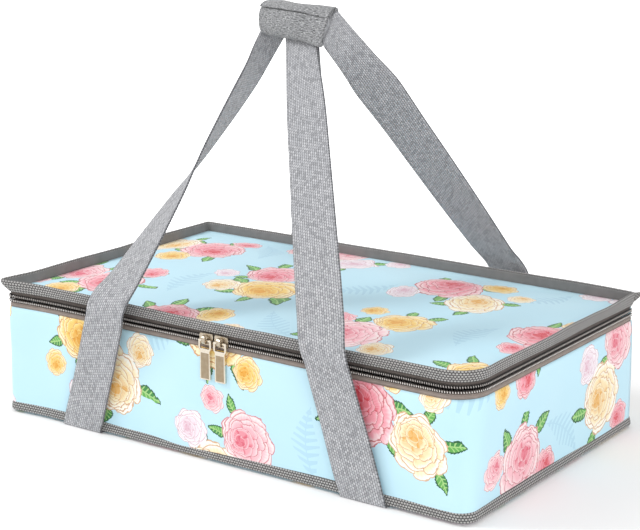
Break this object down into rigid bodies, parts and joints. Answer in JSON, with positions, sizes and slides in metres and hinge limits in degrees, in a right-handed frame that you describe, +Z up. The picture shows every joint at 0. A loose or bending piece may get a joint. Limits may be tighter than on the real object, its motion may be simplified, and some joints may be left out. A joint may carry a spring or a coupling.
{
  "type": "casserole carrier",
  "caption": "Insulated rectangular fabric carrier for a baking dish, with a zipped hinged lid, webbing handles and a padded hook-and-loop grip.",
  "frame": {"origin": "middle of the floor contact under the carrier, level with the underside of its base straps", "axes": "+Z up, +X along the long side to the right as seen from the front, +Y from the zip pulls at the front to the lid hinge at the back"},
  "size_m": [0.4216, 0.2775, 0.3247],
  "materials": {
    "printed_fabric": "woven polyester with a floral print, satin",
    "binding_tape": "woven binding tape, matte",
    "webbing": "ribbed webbing, matte",
    "grip_cloth": "padded melange cloth, matte",
    "zip_tape": "woven zip tape, matte",
    "zip_teeth": "moulded coil, satin",
    "slider_metal": "antique finish, satin",
    "foil_liner": "metallised film, gloss",
    "foam": "closed cell foam, matte",
    "board": "stiffener sheet, matte",
    "closure_tape": "hook and loop tape, matte"
  },
  "bodies": {
    "tray": {"base_panel": "printed_fabric", "base_foam": "foam", "base_board": "board", "wall_strip": "printed_fabric", "back_panel": "printed_fabric", "wall_foam": "foam", "tray_liner": "foil_liner", "base_binding": "binding_tape", "base_strap_left": "webbing", "base_strap_right": "webbing", "zip_lower_tape": "zip_tape", "zip_lower_teeth": "zip_teeth"},
    "lid": {"lid_binding": "binding_tape", "lid_panel": "printed_fabric", "lid_foam": "foam", "lid_liner": "foil_liner", "zip_upper_tape": "zip_tape", "zip_upper_teeth": "zip_teeth"},
    "slider_left": {"slider_left_body": "slider_metal", "slider_left_crown": "slider_metal"},
    "slider_right": {"slider_right_body": "slider_metal", "slider_right_crown": "slider_metal"},
    "left_pull": {"pull_left": "slider_metal"},
    "right_pull": {"pull_right": "slider_metal"},
    "front_handle": {"front_strap": "webbing", "grip_front_pad": "grip_cloth", "loop_tape": "closure_tape"},
    "back_handle": {"back_strap": "webbing", "grip_back_pad": "grip_cloth"},
    "flap": {"grip_flap": "grip_cloth", "hook_tape": "closure_tape"}
  },
  "joints": [
    {"name": "lid_hinge", "type": "hinge", "parent": "tray", "child": "lid", "pos_m": [0, 0.123, 0.09885], "axis": [-1, 0, 0], "range_deg": [0, 95]},
    {"name": "front_handle_swing", "type": "hinge", "parent": "tray", "child": "front_handle", "pos_m": [0, -0.12635, 0.00075], "axis": [1, 0, 0], "range_deg": [0, 85]},
    {"name": "back_handle_swing", "type": "hinge", "parent": "tray", "child": "back_handle", "pos_m": [0, 0.12635, 0.00075], "axis": [-1, 0, 0], "range_deg": [0, 85]},
    {"name": "flap_hinge", "type": "hinge", "parent": "back_handle", "child": "flap", "pos_m": [-0.01601, 0.00324, 0.32358], "axis": [-0.9563, 0.2924, 0], "range_deg": [0, 120]},
    {"name": "slider_left_travel", "type": "slide", "parent": "tray", "child": "slider_left", "axis": [-1, 0, 0], "range_m": [0, 0.165]},
    {"name": "slider_right_travel", "type": "slide", "parent": "tray", "child": "slider_right", "axis": [1, 0, 0], "range_m": [0, 0.175]},
    {"name": "pull_left_hinge", "type": "hinge", "parent": "slider_left", "child": "left_pull", "pos_m": [-0.0119, -0.1258, 0.093], "axis": [-1, 0, 0], "range_deg": [0, 150]},
    {"name": "pull_right_hinge", "type": "hinge", "parent": "slider_right", "child": "right_pull", "pos_m": [0.0019, -0.1258, 0.093], "axis": [-1, 0, 0], "range_deg": [0, 150]}
  ],
  "couplings": [
    {"joint": "front_handle_swing", "follows": "lid_hinge", "ratio": 0.89473},
    {"joint": "back_handle_swing", "follows": "lid_hinge", "ratio": 0.89473},
    {"joint": "flap_hinge", "follows": "lid_hinge", "ratio": 1.2631},
    {"joint": "slider_left_travel", "follows": "lid_hinge", "m_per_rad": 0.09951},
    {"joint": "slider_right_travel", "follows": "lid_hinge", "m_per_rad": 0.10554}
  ]
}
